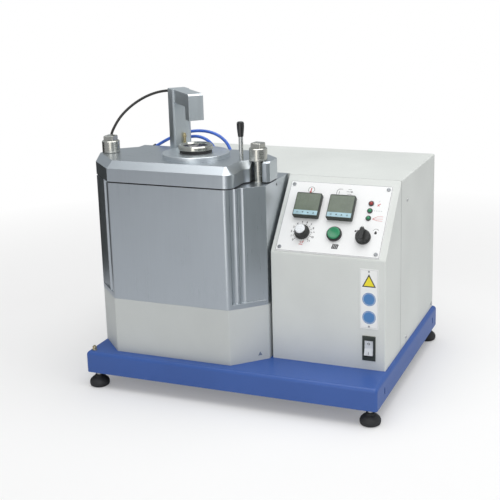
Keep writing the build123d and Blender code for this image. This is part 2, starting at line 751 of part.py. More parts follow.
def make_button():
    lift = PLATE_T
    well_z = lift + 0.2
    stem_floor = -12.0
    bezel = bezel_body(lift) - rod(0, 0, well_z, 20, BUTTON_CAP_R + 0.3)
    bezel -= rod(0, 0, stem_floor, well_z, BUTTON_STEM_R + 0.3)
    save("start_button_bezel", on_slope(BUTTON_X, BUTTON_S, bezel))
    cap_z0 = well_z + BUTTON_TRAVEL + 0.3
    cap_z1 = lift + BEZEL_H + 2.6
    cap = rod(0, 0, cap_z0, cap_z1, BUTTON_CAP_R)
    cap = fillet(cap.faces().sort_by(Axis.Z)[-1].edges(), 1.2)
    dish_r = 70.0
    cap -= Pos(0, 0, cap_z1 + dish_r - 0.6) * Sphere(dish_r)
    cap += rod(0, 0, stem_floor + BUTTON_TRAVEL + 0.5, cap_z0, BUTTON_STEM_R)
    save("start_button", on_slope(BUTTON_X, BUTTON_S, cap))


def make_selector():
    lift = PLATE_T
    shaft_floor = -8.0
    bezel = bezel_body(lift) - rod(0, 0, shaft_floor, 20, SELECTOR_SHAFT_R + 0.06)
    save("selector_bezel", on_slope(SELECTOR_X, ROW_S, bezel))
    z0 = lift + BEZEL_H + SLIDE_GAP
    knob = rod(0, 0, z0, z0 + 4.5, 12.6)
    knob = fillet(knob.faces().sort_by(Axis.Z)[-1].edges(), 1.0)
    grip = slab(-4.2, -12.0, z0 + 4.5, 4.2, 12.0, z0 + 13.5)
    grip = fillet(grip.edges().filter_by(Axis.Z), 3.0)
    grip = fillet(grip.faces().sort_by(Axis.Z)[-1].edges(), 1.5)
    knob += grip + rod(0, 0, shaft_floor + 0.5, z0, SELECTOR_SHAFT_R)
    save("selector_knob", on_slope(SELECTOR_X, ROW_S, knob))


def make_power_knob():
    pot = slab(-12.0, -12.0, -18.0, 12.0, 12.0, -4.0)
    pot += rod(0, 0, -4.0, PLATE_T + 1.0, 4.9)
    pot -= rod(0, 0, -14.0, PLATE_T + 2.0, POT_SHAFT_R + 0.05)
    save("potentiometer", on_slope(POT_X, ROW_S, pot))
    z0 = PLATE_T + 1.4
    skirt_r = 14.0
    cap_r = 9.2
    top = z0 + 16.5
    knob = turned([
        (0, z0), (skirt_r, z0), (skirt_r, z0 + 4.5), (11.6, z0 + 7.0), (cap_r + 0.6, top - 1.2),
        (cap_r, top - 1.2), (cap_r, top - 2.2), (0, top - 2.2),
    ])
    groove_n = 24
    groove_at = skirt_r + 0.7
    for i in range(groove_n):
        a = math.radians(i * 360.0 / groove_n)
        knob -= rod(groove_at * math.cos(a), groove_at * math.sin(a), z0, z0 + 9.0, 1.4)
    knob += rod(0, 0, -13.5, z0, POT_SHAFT_R)
    save("power_knob", on_slope(POT_X, ROW_S, knob))
    cap = rod(0, 0, top - 2.2, top, cap_r)
    cap = chamfer(cap.faces().sort_by(Axis.Z)[-1].edges(), 0.6)
    cap -= slab(-0.6, 3.0, top - 0.5, 0.6, cap_r + 1, top + 1)
    save("power_knob_cap", on_slope(POT_X, ROW_S, cap))


def make_leds():
    lens_r = 3.7
    rim_r = 5.1
    ring = turned([
        (lens_r, -6.0), (LED_HOLE_R - 0.1, -6.0), (LED_HOLE_R - 0.1, PLATE_T), (rim_r, PLATE_T),
        (rim_r, PLATE_T + 1.2), (rim_r - 0.7, PLATE_T + 2.0), (lens_r, PLATE_T + 2.0),
    ])
    save("led_bezels", *[on_slope(LED_X, s, ring) for s in LED_S])
    dome_z = PLATE_T + 0.6
    lens = rod(0, 0, -10.0, dome_z, lens_r - 0.02)
    lens += Pos(0, 0, dome_z) * Sphere(lens_r - 0.02)
    for name, s in zip(("led_red", "led_green_upper", "led_green_lower"), LED_S):
        save(name, on_slope(LED_X, s, lens))


def make_rocker():
    """Mains rocker in its bezel: the paddle tilts about a cross pin."""
    y = CONSOLE_Y0
    w = 24.0
    h = 46.0
    proud = 2.4
    frame = slab(ROCKER_X - w / 2, y - proud, ROCKER_Z - h / 2, ROCKER_X + w / 2, y, ROCKER_Z + h / 2)
    frame = chamfer(frame.faces().sort_by(Axis.Y)[0].edges(), 0.8)
    frame += slab(
        ROCKER_X - ROCKER_BODY_W / 2 + 0.2, y, ROCKER_Z - ROCKER_BODY_H / 2 + 0.2,
        ROCKER_X + ROCKER_BODY_W / 2 - 0.2, y + 26.0, ROCKER_Z + ROCKER_BODY_H / 2 - 0.2)
    paddle_w = 15.4
    paddle_h = 29.0
    frame -= slab(
        ROCKER_X - paddle_w / 2 - 0.4, y - 10, ROCKER_Z - paddle_h / 2 - 1.0,
        ROCKER_X + paddle_w / 2 + 0.4, y + 16.0, ROCKER_Z + paddle_h / 2 + 1.0)
    pin_y = y + 5.0
    pin = Pos(ROCKER_X, pin_y, ROCKER_Z) * Rot(0, 90, 0) * Cylinder(1.45, ROCKER_BODY_W - 2)
    frame -= Pos(ROCKER_X, pin_y, ROCKER_Z) * Rot(0, 90, 0) * Cylinder(1.5, ROCKER_BODY_W - 1.6)
    save("rocker_bezel", frame)
    outline = [
        (-8.6, 13.4), (-6.65, 0), (-8.6, -13.4), (-4.9, -13.2), (3.5, -3.0), (3.5, 3.0), (-4.9, 13.2),
    ]
    paddle = side_prism(outline, -paddle_w / 2, paddle_w / 2)
    paddle = Pos(ROCKER_X, pin_y, ROCKER_Z) * Rot(-ROCKER_TILT, 0, 0) * paddle
    save("rocker_paddle", paddle + pin)


def make_label_plate():
    x0 = 515.5
    x1 = 549.0
    z0 = 149.0
    z1 = 259.0
    t = 1.0
    y = CONSOLE_Y0
    save("label_plate", slab(x0, y - t, z0, x1, y, z1))
    rivets = []
    for z in (z0 + 4.5, z1 - 4.5):
        cap = Pos((x0 + x1) / 2, y - t, z) * Rot(90, 0, 0) * Cylinder(1.6, 0.9, align=(
            Align.CENTER, Align.CENTER, Align.MIN))
        rivets.append(cap)
    save("label_rivets", *rivets)


# ---------------------------------------------------------------- rear housing
def cover_outline(inset=0.0):
    """Plan outline of the rear cover, stepped forward beside the console."""
    step_x = CONSOLE_X0
    x0 = COVER_X0 + inset
    x1 = CONSOLE_X1 - inset
    y1 = COVER_Y1 - inset
    return [
        (x0, COVER_Y0 + inset), (step_x + inset, COVER_Y0 + inset), (step_x + inset, CONSOLE_Y1 + inset),
        (x1, CONSOLE_Y1 + inset), (x1, y1), (x0, y1),
    ]


def make_cover():
    cover = prism(cover_outline(), TRAY_Z1, COVER_Z1)
    for x in (COVER_X0, CONSOLE_X1):
        cover = fillet(upright_edges(cover, x, COVER_Y1), BEND)
    rim = [e for e in cover.faces().sort_by(Axis.Z)[-1].edges() if e.center().Y > CONSOLE_Y1 + 20]
    cover = fillet(rim, 3.0)
    cover -= prism(cover_outline(SHEET), TRAY_Z1, COVER_Z1 - SHEET)
    mouth = slab(
        CONSOLE_X0 + SHEET + 10.0, CONSOLE_Y1 - 1, TRAY_Z1, CONSOLE_X1 - SHEET - 10.0,
        CONSOLE_Y1 + SHEET + 1, COVER_Z1 - 14.0)
    cover -= mouth
    vent_w = 60.0
    vent_pitch = 12.0
    for column_x in (90.0, 170.0, 250.0):
        for i in range(9):
            z = 250.0 + i * vent_pitch
            cover -= slab(column_x - vent_w / 2, COVER_Y1 - SHEET - 1, z, column_x + vent_w / 2, COVER_Y1 + 1, z + 4)
    cover -= slab(INLET_X - 14, COVER_Y1 - SHEET - 1, INLET_Z - 10, INLET_X + 14, COVER_Y1 + 1, INLET_Z + 10)
    save("rear_cover", cover)
    head = turned([(0, 0), (3.6, 0), (3.2, 1.4), (2.0, 1.9), (0, 1.9)]) - slab(-4, -0.45, 1.2, 4, 0.45, 3)
    places = [(227.4, 351.6), (227.2, 84.7), (438.7, 81.2)]
    right = [Pos(CONSOLE_X1, y, z) * Rot(0, 90, 0) * head for y, z in places]
    left = [Pos(COVER_X0, y, z) * Rot(0, -90, 0) * head for y, z in places]
    save("cover_screws", *right, *left)


def make_inlet():
    """Appliance inlet on the back of the cover, for a detachable mains lead."""
    y = COVER_Y1
    flange = slab(INLET_X - 25, y, INLET_Z - 14, INLET_X + 25, y + 2.0, INLET_Z + 14)
    flange = fillet(flange.edges().filter_by(Axis.Y), 4.0)
    body = slab(INLET_X - 13.7, y - 24.0, INLET_Z - 9.7, INLET_X + 13.7, y, INLET_Z + 9.7)
    well = slab(INLET_X - 11.5, y - 14.0, INLET_Z - 7.5, INLET_X + 11.5, y + 3, INLET_Z + 7.5)
    pins = []
    for dx, dz in ((-7.0, -1.5), (7.0, -1.5), (0, 2.0)):
        pins.append(slab(
            INLET_X + dx - 1, y - 15.0, INLET_Z + dz - 2, INLET_X + dx + 1, y - 2.0, INLET_Z + dz + 2))
    inlet = flange + body - well
    for pin in pins:
        inlet += pin
    save("mains_inlet", inlet)


def make_pump():
    """Rotary vane pump that stands on the tray inside the rear cover."""
    x = 450.0
    y = 330.0
    z = TRAY_Z1
    base = slab(x - 70, y - 45, z, x + 70, y + 45, z + 8)
    posts = slab(x - 60, y - 30, z + 8, x + 60, y + 30, z + 40)
    motor = Pos(x + 15, y, z + 85) * Rot(0, 90, 0) * Cylinder(50, 110)
    head = slab(x - 90, y - 48, z + 36, x - 38, y + 48, z + 138)
    port = rod(x - 64, y, z + 138, z + 160, 9)
    save("vacuum_pump", base + posts + motor + head + port)


os.makedirs("parts", exist_ok=True)
make_base()
make_feet()
make_earth_bolt()
make_pedestal()
make_chamber()
make_furnace()
make_lid()
make_clamps()
make_window()
make_arm()
make_cords()
make_handle()
make_console()
make_panel_plate()
make_controllers()
make_button()
make_selector()
make_power_knob()
make_leds()
make_rocker()
make_label_plate()
make_cover()
make_inlet()
make_pump()
print(len(COUNTER), "nodes,", sum(COUNTER.values()), "solids")
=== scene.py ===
import math

import bmesh
import bpy
from mathutils import Matrix, Vector


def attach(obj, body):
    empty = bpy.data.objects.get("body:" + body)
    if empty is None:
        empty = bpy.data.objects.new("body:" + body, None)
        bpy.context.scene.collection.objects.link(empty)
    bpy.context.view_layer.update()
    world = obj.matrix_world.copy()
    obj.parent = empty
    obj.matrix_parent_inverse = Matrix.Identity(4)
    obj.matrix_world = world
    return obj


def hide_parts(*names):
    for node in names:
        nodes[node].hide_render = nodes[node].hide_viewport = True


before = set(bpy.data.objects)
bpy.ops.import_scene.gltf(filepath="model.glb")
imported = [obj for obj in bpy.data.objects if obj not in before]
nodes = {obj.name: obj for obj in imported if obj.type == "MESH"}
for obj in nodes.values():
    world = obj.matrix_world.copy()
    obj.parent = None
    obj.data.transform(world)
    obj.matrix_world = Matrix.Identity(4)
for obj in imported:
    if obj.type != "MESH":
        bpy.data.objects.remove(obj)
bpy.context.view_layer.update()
scene = bpy.context.scene

# ---------------------------------------------------------------- places, in metres
BASE_W = 0.570
BASE_D = 0.457


def at(x, y, z):
    """A point given from the tray's front left corner, in millimetres."""
    return Vector((x / 1000 - BASE_W / 2, y / 1000 - BASE_D / 2, z / 1000))


CONSOLE_X0 = 348.0
CONSOLE_X1 = 562.0
TRAY_TOP = 71.7
SEAM_W = 1.0
FOLD = (81.7, 275.2)
SLOPE_TOP = (186.2, 395.6)
SLOPE_LEN = math.hypot(SLOPE_TOP[0] - FOLD[0], SLOPE_TOP[1] - FOLD[1])
SLOPE_Y = (SLOPE_TOP[0] - FOLD[0]) / SLOPE_LEN
SLOPE_Z = (SLOPE_TOP[1] - FOLD[1]) / SLOPE_LEN
PLATE_T = 2.0
ROW_S = 41.0
POT_X = 52.5
BUTTON_X = 112.5
SELECTOR_X = 166.0
CTRL_XS = (52.4, 116.0)
CTRL_S = 94.0
CTRL_PROUD = 12.0
AXIS = (194.0, 110.0)
STUD_LEFT = (19.0, 106.0)
STUD_RIGHT = (319.0, 106.0)
HANDLE = (290.0, 97.0)
LABEL_X = 532.25
ROCKER_PIN = (532.0, 86.7, 112.0)
ROCKER_TILT = -8.0
PADDLE_DIP = 6.65
PADDLE_LEAN = 8.28
FRONT_Y = 81.7


def slope_matrix(x, s, lift):
    """Frame on the sloping panel: x right, y up the slope, z out of the panel; sizes in mm."""
    origin = at(CONSOLE_X0 + x, FOLD[0] + s * SLOPE_Y - lift * SLOPE_Z,
                FOLD[1] + s * SLOPE_Z + lift * SLOPE_Y)
    m = Matrix(((1, 0, 0), (0, SLOPE_Y, -SLOPE_Z), (0, SLOPE_Z, SLOPE_Y))).to_4x4()
    return Matrix.Translation(origin) @ m @ Matrix.Scale(0.001, 4)


def front_matrix(x, y, z):
    """Frame on an upright face that looks along -Y: x right, y up, z out; sizes in mm."""
    m = Matrix(((1, 0, 0), (0, 0, -1), (0, 1, 0))).to_4x4()
    return Matrix.Translation(at(x, y, z)) @ m @ Matrix.Scale(0.001, 4)


# ---------------------------------------------------------------- camera
CAMERA_PLACE = (0.7219, -1.7770, 0.7879)
CAMERA_YAW = 20.816
CAMERA_PITCH = 13.953
CAMERA_ROLL = -1.068
CAMERA_LENS = 73.34
CAMERA_SHIFT = -0.08


def make_camera():
    cam = bpy.data.cameras.new("camera")
    cam.sensor_width = 36.0
    cam.lens = CAMERA_LENS
    cam.shift_x = CAMERA_SHIFT
    cam.shift_y = CAMERA_SHIFT
    cam.clip_start = 0.05
    cam.clip_end = 60.0
    obj = bpy.data.objects.new("camera", cam)
    scene.collection.objects.link(obj)
    yaw = math.radians(CAMERA_YAW)
    pitch = math.radians(CAMERA_PITCH)
    roll = math.radians(CAMERA_ROLL)
    turn = Matrix.Rotation(yaw, 4, "Z") @ Matrix.Rotation(math.pi / 2 - pitch, 4, "X")
    turn = turn @ Matrix.Rotation(roll, 4, "Z")
    obj.matrix_world = Matrix.Translation(CAMERA_PLACE) @ turn
    scene.camera = obj


make_camera()


# ---------------------------------------------------------------- node tree helpers
def new_material(name):
    m = bpy.data.materials.new(name)
    m.use_nodes = True
    tree = m.node_tree
    return m, tree, tree.nodes["Principled BSDF"]


def link(tree, a, b):
    tree.links.new(a, b)


def object_coords(tree, scale):
    """Object coordinates, in metres, stretched by a scale per axis."""
    tc = tree.nodes.new("ShaderNodeTexCoord")
    mp = tree.nodes.new("ShaderNodeMapping")
    mp.inputs["Scale"].default_value = scale
    link(tree, tc.outputs["Object"], mp.inputs["Vector"])
    return mp.outputs["Vector"]


def noise(tree, vector, scale, detail=3.0, rough=0.55):
    n = tree.nodes.new("ShaderNodeTexNoise")
    n.inputs["Scale"].default_value = scale
    n.inputs["Detail"].default_value = detail
    n.inputs["Roughness"].default_value = rough
    link(tree, vector, n.inputs["Vector"])
    return n.outputs["Fac"]


def math_node(tree, op, a, b=None, clamp=False):
    n = tree.nodes.new("ShaderNodeMath")
    n.operation = op
    n.use_clamp = clamp
    for i, value in enumerate((a, b)):
        if value is None:
            continue
        if isinstance(value, (int, float)):
            n.inputs[i].default_value = value
        else:
            link(tree, value, n.inputs[i])
    return n.outputs[0]


def ranged(tree, value, a, b, low, high):
    """value, running from a to b, spread over low to high."""
    n = tree.nodes.new("ShaderNodeMapRange")
    n.inputs["From Min"].default_value = a
    n.inputs["From Max"].default_value = b
    n.inputs["To Min"].default_value = low
    n.inputs["To Max"].default_value = high
    link(tree, value, n.inputs["Value"])
    return n.outputs["Result"]


def mix_colour(tree, factor, a, b):
    n = tree.nodes.new("ShaderNodeMix")
    n.data_type = "RGBA"
    if isinstance(factor, (int, float)):
        n.inputs["Factor"].default_value = factor
    else:
        link(tree, factor, n.inputs["Factor"])
    for socket, value in (("A", a), ("B", b)):
        target = [s for s in n.inputs if s.name == socket and s.type == "RGBA"][0]
        if isinstance(value, tuple):
            target.default_value = (*value, 1.0)
        else:
            link(tree, value, target)
    return [s for s in n.outputs if s.type == "RGBA"][0]


def mix_value(tree, factor, a, b):
    n = tree.nodes.new("ShaderNodeMix")
    n.data_type = "FLOAT"
    link(tree, factor, n.inputs["Factor"])
    for i, value in ((2, a), (3, b)):
        if isinstance(value, (int, float)):
            n.inputs[i].default_value = value
        else:
            link(tree, value, n.inputs[i])
    return n.outputs[0]


def edge_wear(tree, radius, sharp=0.90):
    """1 on convex edges and 0 on flats; also the eased normal."""
    bevel = tree.nodes.new("ShaderNodeBevel")
    bevel.samples = 4
    bevel.inputs["Radius"].default_value = radius
    geometry = tree.nodes.new("ShaderNodeNewGeometry")
    dot = tree.nodes.new("ShaderNodeVectorMath")
    dot.operation = "DOT_PRODUCT"
    link(tree, bevel.outputs["Normal"], dot.inputs[0])
    link(tree, geometry.outputs["Normal"], dot.inputs[1])
    return ranged(tree, dot.outputs["Value"], 1.0, sharp, 0.0, 1.0), bevel.outputs["Normal"]


def add_bump(tree, shader, height, distance, strength=1.0, normal=None):
    b = tree.nodes.new("ShaderNodeBump")
    b.inputs["Strength"].default_value = strength
    b.inputs["Distance"].default_value = distance
    link(tree, height, b.inputs["Height"])
    if normal is not None:
        link(tree, normal, b.inputs["Normal"])
    link(tree, b.outputs["Normal"], shader.inputs["Normal"])


# ---------------------------------------------------------------- materials
def machined(name, colour, rough, grain=(900.0, 900.0, 12.0), top_grain=(14.0, 900.0, 14.0),
             spread=0.08, patch=0.05):
    """Milled metal: fine cutter lines, upright on walls and along X on flats."""
    m, tree, shader = new_material(name)
    side = noise(tree, object_coords(tree, grain), 1.0, 4.0, 0.6)
    flat = noise(tree, object_coords(tree, top_grain), 1.0, 4.0, 0.6)
    tc = tree.nodes.new("ShaderNodeTexCoord")
    split = tree.nodes.new("ShaderNodeSeparateXYZ")
    link(tree, tc.outputs["Normal"], split.inputs[0])
    up = math_node(tree, "ABSOLUTE", split.outputs["Z"])
    is_flat = ranged(tree, up, 0.8, 0.95, 0.0, 1.0)
    lines = mix_value(tree, is_flat, side, flat)
    cloud = noise(tree, object_coords(tree, (1.0, 1.0, 1.0)), 11.0, 4.0, 0.55)
    wear, eased = edge_wear(tree, 0.0007)
    tone = math_node(tree, "ADD", ranged(tree, lines, 0.3, 0.7, -spread / 2, spread / 2),
                     ranged(tree, cloud, 0.3, 0.7, -patch / 2, patch / 2))
    dark = tuple(c * 0.72 for c in colour)
    light = tuple(min(1.0, c * 1.28) for c in colour)
    base = mix_colour(tree, math_node(tree, "ADD", tone, 0.5, True), dark, light)
    base = mix_colour(tree, math_node(tree, "MULTIPLY", wear, 0.5), base, (0.86, 0.87, 0.89))
    link(tree, base, shader.inputs["Base Color"])
    shader.inputs["Metallic"].default_value = 1.0
    r = math_node(tree, "ADD", ranged(tree, lines, 0.3, 0.7, rough - 0.05, rough + 0.06),
                  ranged(tree, cloud, 0.3, 0.7, -0.03, 0.03))
    link(tree, r, shader.inputs["Roughness"])
    add_bump(tree, shader, lines, 0.00003, 0.6, eased)
    return m


RING_PITCH = 2600.0


def turned(name, colour, rough, centre):
    """Lathe-turned metal: rings about an upright axis through centre, in mm."""
    m, tree, shader = new_material(name)
    c = at(centre[0], centre[1], 0)
    tc = tree.nodes.new("ShaderNodeTexCoord")
    split = tree.nodes.new("ShaderNodeSeparateXYZ")
    link(tree, tc.outputs["Object"], split.inputs[0])
    dx = math_node(tree, "SUBTRACT", split.outputs["X"], c.x)
    dy = math_node(tree, "SUBTRACT", split.outputs["Y"], c.y)
    radius = math_node(tree, "SQRT", math_node(
        tree, "ADD", math_node(tree, "MULTIPLY", dx, dx), math_node(tree, "MULTIPLY", dy, dy)))
    angle = math_node(tree, "ARCTAN2", dy, dx)
    combine = tree.nodes.new("ShaderNodeCombineXYZ")
    link(tree, math_node(tree, "MULTIPLY", radius, RING_PITCH), combine.inputs[0])
    link(tree, math_node(tree, "MULTIPLY", split.outputs["Z"], RING_PITCH), combine.inputs[1])
    link(tree, math_node(tree, "MULTIPLY", angle, 1.2), combine.inputs[2])
    rings = noise(tree, combine.outputs[0], 0.6, 3.0, 0.6)
    cloud = noise(tree, object_coords(tree, (1.0, 1.0, 1.0)), 30.0, 3.0, 0.5)
    wear, eased = edge_wear(tree, 0.0005)
    dark = tuple(c * 0.70 for c in colour)
    light = tuple(min(1.0, c * 1.25) for c in colour)
    tone = math_node(tree, "ADD", ranged(tree, rings, 0.3, 0.7, 0.35, 0.65),
                     ranged(tree, cloud, 0.3, 0.7, -0.08, 0.08), True)
    base = mix_colour(tree, tone, dark, light)
    base = mix_colour(tree, math_node(tree, "MULTIPLY", wear, 0.6), base, (0.88, 0.88, 0.87))
    link(tree, base, shader.inputs["Base Color"])
    shader.inputs["Metallic"].default_value = 1.0
    link(tree, ranged(tree, rings, 0.3, 0.7, rough - 0.06, rough + 0.08), shader.inputs["Roughness"])
    add_bump(tree, shader, rings, 0.00004, 0.7, eased)
    return m


def painted(name, colour, rough, texture, depth, chips=None, coat=0.0, cloud_amount=0.05):
    """Sprayed or powder-coated sheet: orange peel, slow tone drift, worn edges."""
    m, tree, shader = new_material(name)
    vector = object_coords(tree, (1.0, 1.0, 1.0))
    peel = noise(tree, vector, texture, 2.0, 0.5)
    fine = noise(tree, vector, texture * 3.1, 2.0, 0.5)
    cloud = noise(tree, vector, 7.0, 4.0, 0.5)
    wear, eased = edge_wear(tree, 0.0006, 0.86)
    low = tuple(c * (1 - cloud_amount) for c in colour)
    high = tuple(min(1.0, c * (1 + cloud_amount)) for c in colour)
    base = mix_colour(tree, ranged(tree, cloud, 0.3, 0.7, 0.0, 1.0), low, high)
    speck = ranged(tree, fine, 0.35, 0.65, -0.06, 0.06)
    speck_mix = tree.nodes.new("ShaderNodeHueSaturation")
    link(tree, math_node(tree, "ADD", speck, 1.0), speck_mix.inputs["Value"])
    link(tree, base, speck_mix.inputs["Color"])
    base = speck_mix.outputs["Color"]
    if chips is not None:
        broken = ranged(tree, noise(tree, vector, 260.0, 4.0, 0.7), 0.50, 0.62, 0.0, 1.0)
        amount = math_node(tree, "MULTIPLY", math_node(tree, "MULTIPLY", wear, broken), 0.7)
        base = mix_colour(tree, amount, base, chips)
    link(tree, base, shader.inputs["Base Color"])
    link(tree, math_node(tree, "ADD", ranged(tree, peel, 0.3, 0.7, rough - 0.05, rough + 0.05),
                         ranged(tree, cloud, 0.3, 0.7, -0.03, 0.03)), shader.inputs["Roughness"])
    shader.inputs["Coat Weight"].default_value = coat
    shader.inputs["Coat Roughness"].default_value = 0.2
    height = math_node(tree, "ADD", peel, math_node(tree, "MULTIPLY", fine, 0.35))
    add_bump(tree, shader, height, depth, 0.8, eased)
    return m


def moulded(name, colour, rough, coat=0.0, texture=2600.0, depth=0.00003):
    """Moulded plastic or rubber: fine spark texture, faint scuffs on the edges."""
    m, tree, shader = new_material(name)
    vector = object_coords(tree, (1.0, 1.0, 1.0))
    grain = noise(tree, vector, texture, 3.0, 0.6)
    cloud = noise(tree, vector, 60.0, 3.0, 0.5)
    wear, eased = edge_wear(tree, 0.0004)
    low = tuple(c * 0.88 for c in colour)
    high = tuple(min(1.0, c * 1.12 + 0.004) for c in colour)
    base = mix_colour(tree, ranged(tree, cloud, 0.3, 0.7, 0.0, 1.0), low, high)
    scuff = tuple(min(1.0, c + 0.09) for c in colour)
    base = mix_colour(tree, math_node(tree, "MULTIPLY", wear, 0.35), base, scuff)
    link(tree, base, shader.inputs["Base Color"])
    link(tree, ranged(tree, grain, 0.3, 0.7, rough - 0.06, rough + 0.08), shader.inputs["Roughness"])
    shader.inputs["Coat Weight"].default_value = coat
    shader.inputs["Coat Roughness"].default_value = 0.12
    add_bump(tree, shader, grain, depth, 0.7, eased)
    return m


def printed(name, colour, rough=0.45):
    """Screen-printed ink with slightly uneven cover."""
    m, tree, shader = new_material(name)
    cover = noise(tree, object_coords(tree, (1.0, 1.0, 1.0)), 1800.0, 2.0, 0.6)
    thin = tuple(min(1.0, c * 1.15 + 0.02) for c in colour)
    link(tree, mix_colour(tree, ranged(tree, cover, 0.35, 0.7, 0.0, 1.0), colour, thin),
         shader.inputs["Base Color"])
    link(tree, ranged(tree, cover, 0.3, 0.7, rough - 0.05, rough + 0.08), shader.inputs["Roughness"])
    return m


def glass(name):
    m, tree, shader = new_material(name)
    smear = noise(tree, object_coords(tree, (1.0, 1.0, 1.0)), 45.0, 3.0, 0.6)
    link(tree, mix_colour(tree, ranged(tree, smear, 0.3, 0.7, 0.0, 1.0),
                          (0.016, 0.015, 0.060), (0.030, 0.028, 0.090)), shader.inputs["Base Color"])
    link(tree, ranged(tree, smear, 0.3, 0.7, 0.02, 0.07), shader.inputs["Roughness"])
    shader.inputs["IOR"].default_value = 1.3
    shader.inputs["Transmission Weight"].default_value = 0.30
    shader.inputs["Specular IOR Level"].default_value = 0.15
    return m


ALUMINIUM = (0.55, 0.585, 0.615)
NICKEL = (0.60, 0.59, 0.54)

looks = {
    "blue": painted("blue_powder_coat", (0.032, 0.100, 0.365), 0.42, 1100.0, 0.00007,
                    (0.30, 0.34, 0.42), 0.15),
    "grey": painted("grey_textured_paint", (0.545, 0.57, 0.56), 0.55, 1300.0, 0.00008,
                    (0.40, 0.41, 0.41)),
    "pale": painted("pale_grey_paint", (0.69, 0.715, 0.69), 0.50, 1300.0, 0.00007, (0.5, 0.5, 0.5)),
    "plate": painted("panel_plate_paint", (0.87, 0.88, 0.88), 0.40, 2200.0, 0.00002, None, 0.1, 0.02),
    "label": painted("label_plate_paint", (0.88, 0.89, 0.88), 0.38, 2200.0, 0.00002, None, 0.1, 0.02),
    "alu": machined("machined_aluminium", ALUMINIUM, 0.33),
    "alu_arm": machined("milled_arm_aluminium", (0.67, 0.715, 0.735), 0.40),
    "disc": turned("turned_disc_aluminium", (0.72, 0.76, 0.79), 0.36, AXIS),
    "nut_left": turned("turned_nickel_left", NICKEL, 0.24, STUD_LEFT),
    "nut_right": turned("turned_nickel_right", NICKEL, 0.24, STUD_RIGHT),
    "ring": turned("polished_ring", (0.56, 0.56, 0.51), 0.14, AXIS),
    "steel": machined("bright_zinc_steel", (0.62, 0.62, 0.60), 0.28, (1500.0, 1500.0, 1500.0),
                      (1500.0, 1500.0, 1500.0)),
    "screw": machined("dark_zinc_screw", (0.30, 0.31, 0.32), 0.30, (1500.0, 1500.0, 1500.0),
                      (1500.0, 1500.0, 1500.0)),
    "rod": turned("drawn_steel_rod", (0.66, 0.67, 0.66), 0.22, HANDLE),
    "brass": machined("turned_brass", (0.56, 0.47, 0.27), 0.26, (1500.0, 1500.0, 600.0),
                      (1500.0, 1500.0, 600.0)),
    "rubber": moulded("black_rubber", (0.020, 0.020, 0.021), 0.62),
    "plastic": moulded("black_plastic", (0.017, 0.018, 0.017), 0.42),
    "olive": moulded("controller_case", (0.022, 0.031, 0.023), 0.45),
    "gloss": moulded("black_gloss_plastic", (0.012, 0.012, 0.012), 0.16, 0.6, 2600.0, 0.00001),
    "silver": turned("silver_cap", (0.74, 0.75, 0.76), 0.30, (CONSOLE_X0 + POT_X, 108.0)),
    "paddle": moulded("grey_rocker_plastic", (0.64, 0.67, 0.70), 0.30, 0.2),
    "green": moulded("green_lens_plastic", (0.008, 0.225, 0.090), 0.28, 0.4, 2600.0, 0.00001),
    "red": moulded("red_lens_plastic", (0.34, 0.012, 0.012), 0.20, 0.6, 2600.0, 0.00001),
    "hose": moulded("blue_hose", (0.060, 0.170, 0.680), 0.32, 0.3),
    "cable": moulded("black_cable", (0.022, 0.020, 0.018), 0.48),
    "window": moulded("display_window", (0.110, 0.142, 0.098), 0.20, 0.4, 3000.0, 0.00001),
    "keys": moulded("key_strip_foil", (0.38, 0.57, 0.64), 0.35, 0.1, 3000.0, 0.00001),
    "refractory": painted("ceramic_fibre", (0.62, 0.58, 0.50), 0.9, 700.0, 0.0003),
    "graphite": moulded("graphite", (0.035, 0.035, 0.037), 0.5, 0.0, 900.0, 0.0001),
    "iron": painted("pump_casting", (0.10, 0.13, 0.15), 0.5, 600.0, 0.0002),
    "glass": glass("tinted_glass"),
    "black_ink": printed("black_ink", (0.02, 0.02, 0.022)),
    "red_ink": printed("red_ink", (0.52, 0.03, 0.03)),
    "yellow_ink": printed("yellow_ink", (0.82, 0.70, 0.01)),
    "blue_ink": printed("blue_ink", (0.055, 0.20, 0.47)),
    "white_ink": printed("white_ink", (0.78, 0.79, 0.80)),
    "grey_ink": printed("grey_ink", (0.30, 0.31, 0.32)),
    "line_ink": printed("line_ink", (0.16, 0.165, 0.17)),
    "slate_ink": printed("slate_ink", (0.16, 0.20, 0.26)),
    "ghost_ink": printed("unlit_segments", (0.100, 0.130, 0.098), 0.25),
}

